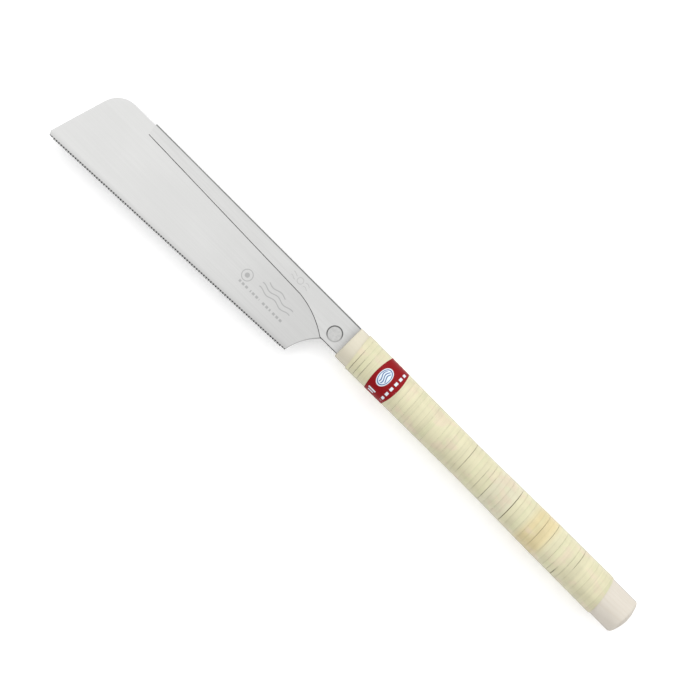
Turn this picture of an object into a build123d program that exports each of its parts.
from build123d import *
import math
import os

# Japanese back saw (dozuki): thin replaceable pull blade, folded steel back and
# an oval wooden handle wound with rattan.  All sizes are in millimetres.
#
# Working frame while modelling: X runs along the handle toward the butt, with
# zero at the wood's front face.  Y runs across, teeth toward -Y, with zero on
# the centre line of the steel neck.  Z is the thickness, zero on the blade plane.
# The finished set is moved so that the origin is the bottom centre of its box.

# ---- blade ----
BLADE_T = 0.35
BLADE_TOP = 12.55
TOE_X = -280.7
TOE_Y = -48.1
TOE_CHAMFER_X = -278.8
TOE_CHAMFER_Y = -51.4
TOOTH_START_X = -274.9
TOOTH_END_X = -35.5
TOOTH_START_Y = -52.0
TOOTH_SLOPE = 2.59
TOOTH_COUNT = 191
TOOTH_DEPTH = 0.95
TOOTH_RAKE = 0.30
NOSE_CORNER_X = -262.7
NOSE_R = 20.0
SHOULDER_X = -21.9
TAIL_TOP = (-16.2, 6.3)
TAIL_LOW = (-13.9, -12.9)
HEEL_TOP = (-17.4, -14.4)
HEEL_MID = (-26.3, -26.8)
HEEL_LOW = (-30.6, -39.0)
HEEL_CORNER = (-31.2, -40.2)

# ---- hook and pivot ----
PIVOT_X = -11.9
PIVOT_Y = -3.7
SHAFT_R = 3.25
HOOK_R = 3.30
TAIL_R = 9.5
HEAD_R = 6.1
HEAD_T = 0.4
RECESS_R = 6.4
RECESS_DEPTH = 0.6
SHAFT_FIT = 0.02

# ---- folded back ----
SHEET_T = 1.0
SLOT_T = 0.40
BACK_TOP = 13.9
BACK_FRONT_X = -225.6
BACK_TOE = (-224.2, 3.6)
SWEEP_START = (-53.0, -0.9)
SWEEP_MID = (-33.5, -5.7)
SWEEP_END_X = -18.4
NECK_BOTTOM = -13.9
TANG_W = 15.0
TANG_L = 95.0
TANG_THIN = 0.1
SPACER_W = 20.0
SPACER_GAP = 0.3
TAIL_CLEAR_X = -10.9
SHEARED_BEVEL = 0.5

# ---- handle core: half width (Y) at stations along X ----
GRIP_Y = -1.0
OVAL = 0.96
CORE = [(0.0, 15.2), (9.0, 15.2), (129.0, 14.45), (156.0, 14.65),
        (179.0, 15.0), (218.0, 15.5), (281.0, 15.85), (301.5, 15.95)]
BUTT_X = 306.9
BUTT_ROUND = 3.5
FRONT_ROUND = 1.2
TANG_FIT = 0.05
PIN_R = 1.5
PIN_XS = (20.0, 70.0)
PIN_FIT = 0.02
PIN_SUNK = 1.2

# ---- rattan ----
STRIP_T = 0.80
STRIP_FIT = 0.03
SPLICES = [7.6, 129.0, 156.0, 179.0, 218.0, 282.3]
SPLICE_GAP = 0.05

# ---- label ----
LABEL_X = 42.6
LABEL_HALF_MID = 11.6
LABEL_HALF_SIDE = 9.25
LABEL_T = 0.10
LABEL_FIT = 0.05
LABEL_REACH = 115.0
LABEL_SPAN = 40.0

# ---- modelling aids ----
OVERCUT = 5.0
NEAR = 0.1
REACH_ALL = 800.0


def closed_face(lines):
    """Flat face inside a closed chain of lines and arcs."""
    edges = []
    for line in lines:
        edges.extend(line.edges())
    return make_face(edges)


def tooth_points():
    """Zigzag tooth line from the heel end to the toe end, raked for the pull."""
    slope = math.tan(math.radians(TOOTH_SLOPE))
    pitch = (TOOTH_END_X - TOOTH_START_X) / TOOTH_COUNT
    points = []
    for i in range(TOOTH_COUNT):
        gullet_x = TOOTH_END_X - i * pitch
        tip_x = gullet_x - pitch * TOOTH_RAKE
        gullet_y = TOOTH_START_Y + slope * (gullet_x - TOOTH_START_X) + TOOTH_DEPTH
        tip_y = TOOTH_START_Y + slope * (tip_x - TOOTH_START_X)
        points.append((gullet_x, gullet_y))
        points.append((tip_x, tip_y))
    points.append((TOOTH_START_X, TOOTH_START_Y + TOOTH_DEPTH))
    return points


def make_blade():
    """Thin plate with a hooked tail that turns on the pivot."""
    teeth = tooth_points()
    nose_side = Polyline(teeth[-1], (TOE_CHAMFER_X, TOE_CHAMFER_Y), (TOE_X, TOE_Y))
    run = math.hypot(NOSE_CORNER_X - TOE_X, BLADE_TOP - TOE_Y)
    nose_tan = NOSE_R * math.tan(math.atan2(BLADE_TOP - TOE_Y, NOSE_CORNER_X - TOE_X) / 2)
    ux = (NOSE_CORNER_X - TOE_X) / run
    uy = (BLADE_TOP - TOE_Y) / run
    arc_start = (NOSE_CORNER_X - ux * nose_tan, BLADE_TOP - uy * nose_tan)
    arc_end = (NOSE_CORNER_X + nose_tan, BLADE_TOP)
    nose_arc = TangentArc(arc_start, arc_end, tangent=(ux, uy))
    shoulder = (SHOULDER_X, BLADE_TOP)
    outline = [
        Polyline(*teeth),
        nose_side,
        Line((TOE_X, TOE_Y), arc_start),
        nose_arc,
        Line(arc_end, shoulder),
        Polyline(shoulder, TAIL_TOP, TAIL_LOW, HEEL_TOP),
        ThreePointArc(HEEL_TOP, HEEL_MID, HEEL_LOW),
        Polyline(HEEL_LOW, HEEL_CORNER, teeth[0]),
    ]
    plate = closed_face(outline)
    tail = Pos(PIVOT_X, PIVOT_Y) * Circle(TAIL_R)
    bore = Pos(PIVOT_X, PIVOT_Y) * Circle(HOOK_R)
    mouth = Pos(PIVOT_X, PIVOT_Y + TAIL_R) * Rectangle(2 * HOOK_R, 2 * TAIL_R)
    sketch = Sketch() + plate + tail - bore - mouth
    return Pos(0, 0, -BLADE_T / 2) * extrude(sketch, BLADE_T)


def flank_outline(inset):
    """Side outline of one flank, its top lowered by the given inset."""
    top = BACK_TOP - inset
    half_tang = TANG_W / 2
    edges = [
        Line(BACK_TOE, SWEEP_START),
        ThreePointArc(SWEEP_START, SWEEP_MID, (SWEEP_END_X, NECK_BOTTOM)),
        Polyline((SWEEP_END_X, NECK_BOTTOM), (0, NECK_BOTTOM), (0, -half_tang),
                 (TANG_L, -half_tang), (TANG_L, half_tang), (0, half_tang), (0, top),
                 (BACK_FRONT_X, top), BACK_TOE),
    ]
    return closed_face(edges)


def bevel_flanks(body, half):
    """Bevels the lower rim of both flanks, from the front end to the neck."""
    rims = []
    for side in (1, -1):
        level = side * half
        flat = body.edges().filter_by_position(Axis.Z, level - NEAR, level + NEAR)
        for edge in flat:
            middle = edge.center()
            if BACK_TOE[0] < middle.X < -NEAR and middle.Y < BACK_TOP - half - NEAR:
                rims.append(edge)
    return chamfer(rims, SHEARED_BEVEL)


def make_back():
    """One sheet folded over the blade: fold, two flanks, neck and tang."""
    half = SLOT_T / 2 + SHEET_T
    body = Pos(0, 0, -half) * extrude(flank_outline(half), 2 * half)
    body = bevel_flanks(body, half)
    fold_y = BACK_TOP - half
    fold = Pos(BACK_FRONT_X, fold_y, 0) * Rot(0, 90, 0) * Cylinder(
        half, -BACK_FRONT_X, align=(Align.CENTER, Align.CENTER, Align.MIN))
    body = body + fold
    slot_low = Pos(BACK_FRONT_X - OVERCUT, NECK_BOTTOM - OVERCUT, -SLOT_T / 2) * Box(
        TANG_L - BACK_FRONT_X + 2 * OVERCUT, fold_y - NECK_BOTTOM + OVERCUT, SLOT_T, align=Align.MIN)
    slot_round = Pos(BACK_FRONT_X - OVERCUT, fold_y, 0) * Rot(0, 90, 0) * Cylinder(
        SLOT_T / 2, -BACK_FRONT_X + 2 * OVERCUT, align=(Align.CENTER, Align.CENTER, Align.MIN))
    body = body - slot_low - slot_round
    for side in (1, -1):
        recess = Pos(PIVOT_X, PIVOT_Y, side * half) * Cylinder(RECESS_R, 2 * RECESS_DEPTH)
        pressed = Pos(TANG_L / 2, 0, side * half) * Box(TANG_L, 2 * TANG_W, 2 * TANG_THIN)
        body = body - recess - pressed
    body = body - Pos(PIVOT_X, PIVOT_Y) * Cylinder(SHAFT_R + SHAFT_FIT, 4 * half)
    for x in PIN_XS:
        body = body - Pos(x, 0) * Cylinder(PIN_R + PIN_FIT, 4 * half)
    return body


def make_rivet():
    """Pivot rivet: shaft through the slot, a flat head sunk in each flank."""
    half = SLOT_T / 2 + SHEET_T
    seat = half - RECESS_DEPTH
    rivet = Cylinder(SHAFT_R, 2 * seat)
    for side in (1, -1):
        rivet = rivet + Pos(0, 0, side * (seat + HEAD_T / 2)) * Cylinder(HEAD_R, HEAD_T)
    return Pos(PIVOT_X, PIVOT_Y) * rivet


def make_spacer():
    """Blade-thick filler that keeps the slot open behind the hooked tail."""
    neck_part = Pos(PIVOT_X, 0) * Rectangle(-PIVOT_X, SPACER_W, align=(Align.MIN, Align.CENTER))
    tang_part = Rectangle(TANG_L, TANG_W, align=(Align.MIN, Align.CENTER))
    sketch = Sketch() + neck_part + tang_part
    sketch = sketch - Pos(PIVOT_X, PIVOT_Y) * Circle(TAIL_R + SPACER_GAP)
    tail_room = Rectangle(TANG_L, 2 * SPACER_W, align=(Align.MAX, Align.CENTER))
    sketch = sketch - Pos(TAIL_CLEAR_X, 0) * tail_room
    for x in PIN_XS:
        sketch = sketch - Pos(x, 0) * Circle(PIN_R + PIN_FIT)
    faces = sorted(sketch.faces(), key=lambda face: face.area)
    return Pos(0, 0, -SLOT_T / 2) * extrude(faces[-1], SLOT_T)


def core_radius(x):
    """Half width of the handle core at one station."""
    for (x0, r0), (x1, r1) in zip(CORE, CORE[1:]):
        if x <= x1:
            return r0 + (r1 - r0) * (x - x0) / (x1 - x0)
    return CORE[-1][1]


def flatten(shape):
    """Turn a round handle shape into the oval one and put it on the grip axis."""
    return Pos(0, GRIP_Y, 0) * scale(shape, by=(1, 1, OVAL))


def round_core():
    """Turned shape of the whole core before it is made oval and split."""
    x_end, r_end = CORE[-1]
    r_front = CORE[0][1]
    dome_r = r_end - BUTT_ROUND
    corner = FRONT_ROUND * (1 - math.sqrt(0.5))
    edges = [
        Line((0, 0), (0, r_front - FRONT_ROUND)),
        ThreePointArc((0, r_front - FRONT_ROUND), (corner, r_front - corner), (FRONT_ROUND, r_front)),
        Polyline((FRONT_ROUND, r_front), *CORE[1:]),
        ThreePointArc((x_end, r_end), (x_end + 1.6, r_end - 1.0), (x_end + 2.6, dome_r)),
        ThreePointArc((x_end + 2.6, dome_r), (BUTT_X - 0.65, dome_r / 2), (BUTT_X, 0)),
        Line((BUTT_X, 0), (0, 0)),
    ]
    return revolve(closed_face(edges), Axis.X)


def make_core_halves():
    """Two wooden halves split on the blade plane, each recessed for the tang."""
    core = flatten(round_core())
    pocket_t = 2 * SHEET_T + SLOT_T + 2 * TANG_FIT
    pocket = Pos(-1, 0, 0) * Box(TANG_L + 1 + TANG_FIT, TANG_W + 2 * TANG_FIT, pocket_t,
                                 align=(Align.MIN, Align.CENTER, Align.CENTER))
    core = core - pocket
    for x in PIN_XS:
        core = core - Pos(x, 0) * Cylinder(PIN_R + PIN_FIT, REACH_ALL)
    upper = core & Pos(0, 0, REACH_ALL / 2) * Box(REACH_ALL, REACH_ALL, REACH_ALL)
    lower = core & Pos(0, 0, -REACH_ALL / 2) * Box(REACH_ALL, REACH_ALL, REACH_ALL)
    return upper, lower


def make_tang_pins():
    """Pins through both halves and the tang, ends sunk below the rattan."""
    pins = []
    for x in PIN_XS:
        reach = (core_radius(x) - PIN_SUNK) * OVAL
        pins.append(Pos(x, 0) * Cylinder(PIN_R, 2 * reach))
    return Compound(children=pins)


def core_cone(x0, x1, lift):
    """Cone that follows the core between two stations, grown by lift."""
    cone = Cone(core_radius(x0) + lift, core_radius(x1) + lift, x1 - x0)
    return Pos((x0 + x1) / 2, 0, 0) * Rot(0, 90, 0) * cone


def make_strip(index):
    """One wound rattan strip, its tight turns taken together as a closed sleeve."""
    x0 = SPLICES[index]
    x1 = SPLICES[index + 1] - SPLICE_GAP
    sleeve = core_cone(x0, x1, STRIP_FIT + STRIP_T) - core_cone(x0, x1, STRIP_FIT)
    return flatten(sleeve)


def make_label():
    """Barrel-shaped sticker bent over the top of the grip."""
    r_low = core_radius(LABEL_X) + STRIP_FIT + STRIP_T + LABEL_FIT
    half_span = LABEL_SPAN / 2
    taper = (core_radius(LABEL_X + half_span) - core_radius(LABEL_X - half_span)) / 2

    def cone(extra):
        return Pos(LABEL_X, 0, 0) * Rot(0, 90, 0) * Cone(
            r_low + extra - taper, r_low + extra + taper, LABEL_SPAN)

    side_y = r_low + OVERCUT
    edge_x = LABEL_HALF_MID - (LABEL_HALF_MID - LABEL_HALF_SIDE) * (side_y / r_low) ** 2
    outline = closed_face([
        ThreePointArc((-edge_x, -side_y), (-LABEL_HALF_MID, 0), (-edge_x, side_y)),
        Line((-edge_x, side_y), (edge_x, side_y)),
        ThreePointArc((edge_x, side_y), (LABEL_HALF_MID, 0), (edge_x, -side_y)),
        Line((edge_x, -side_y), (-edge_x, -side_y)),
    ])
    drop = math.cos(math.radians(LABEL_REACH)) * r_low
    barrel = Pos(LABEL_X, 0, drop) * extrude(outline, REACH_ALL)
    return flatten((cone(LABEL_T) - cone(0)) & barrel)


def build():
    """All pieces in the working frame, by name."""
    upper, lower = make_core_halves()
    parts = {
        "saw_blade": make_blade(),
        "folded_back": make_back(),
        "hook_rivet": make_rivet(),
        "tang_spacer": make_spacer(),
        "tang_pins": make_tang_pins(),
        "handle_half_upper": upper,
        "handle_half_lower": lower,
        "handle_label": make_label(),
    }
    for index in range(len(SPLICES) - 1):
        parts["rattan_strip_" + str(index + 1)] = make_strip(index)
    return parts


parts = build()
boxes = [shape.bounding_box() for shape in parts.values()]
mid_x = (min(box.min.X for box in boxes) + max(box.max.X for box in boxes)) / 2
mid_y = (min(box.min.Y for box in boxes) + max(box.max.Y for box in boxes)) / 2
floor_z = min(box.min.Z for box in boxes)
shift = Pos(-mid_x, -mid_y, -floor_z)
os.makedirs("parts", exist_ok=True)
for name, shape in parts.items():
    export_step(shift * shape, "parts/" + name + ".step")
